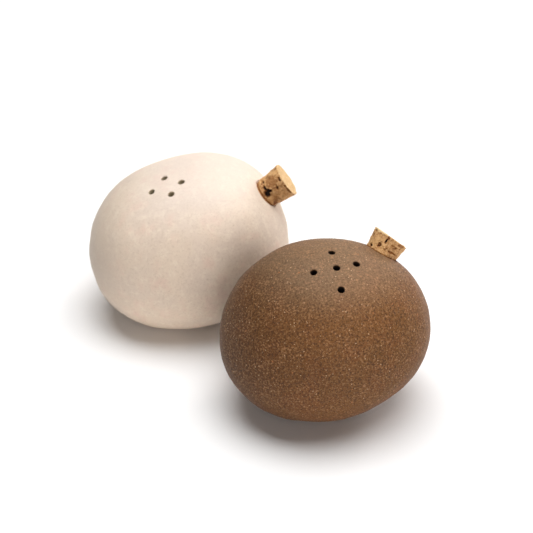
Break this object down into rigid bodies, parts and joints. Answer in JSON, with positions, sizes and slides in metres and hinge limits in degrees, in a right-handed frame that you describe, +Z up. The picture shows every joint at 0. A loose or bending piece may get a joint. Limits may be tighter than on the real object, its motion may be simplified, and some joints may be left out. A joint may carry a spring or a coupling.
{
  "type": "salt and pepper shakers",
  "caption": "Pair of pebble-shaped hollow stoneware shakers, one dark and one pale, with sprinkle holes on top and a tapered cork stopper in the side.",
  "frame": {"origin": "on the table, in the middle of the pair's bounding box", "axes": "+Z up. +X along the longer side of the pair, from the salt shaker to the pepper shaker, which is also the way both stoppers point. +Y away from the front, from the pepper shaker to the salt shaker."},
  "size_m": [0.1268, 0.124, 0.0619],
  "materials": {
    "dark_stoneware": "unglazed brown stoneware with pale grog specks",
    "pale_stoneware": "unglazed cream stoneware, smooth and matte",
    "cork": "natural cork, matte"
  },
  "bodies": {
    "pepper_shaker": {"pepper_shell": "dark_stoneware"},
    "pepper_stopper": {"pepper_stopper": "cork"},
    "salt_shaker": {"salt_shell": "pale_stoneware"},
    "salt_stopper": {"salt_stopper": "cork"}
  },
  "joints": [
    {"name": "pepper_stopper_pull", "type": "slide", "parent": "pepper_shaker", "child": "pepper_stopper", "axis": [0.5337, 0.4447, 0.7193], "range_m": [0, 0.025]},
    {"name": "salt_stopper_pull", "type": "slide", "parent": "salt_shaker", "child": "salt_stopper", "axis": [0.8067, 0.1234, 0.5779], "range_m": [0, 0.025]},
    {"name": "salt_lift", "type": "slide", "parent": "pepper_shaker", "child": "salt_shaker", "axis": [0, 0, 1], "range_m": [0, 0.08]}
  ]
}
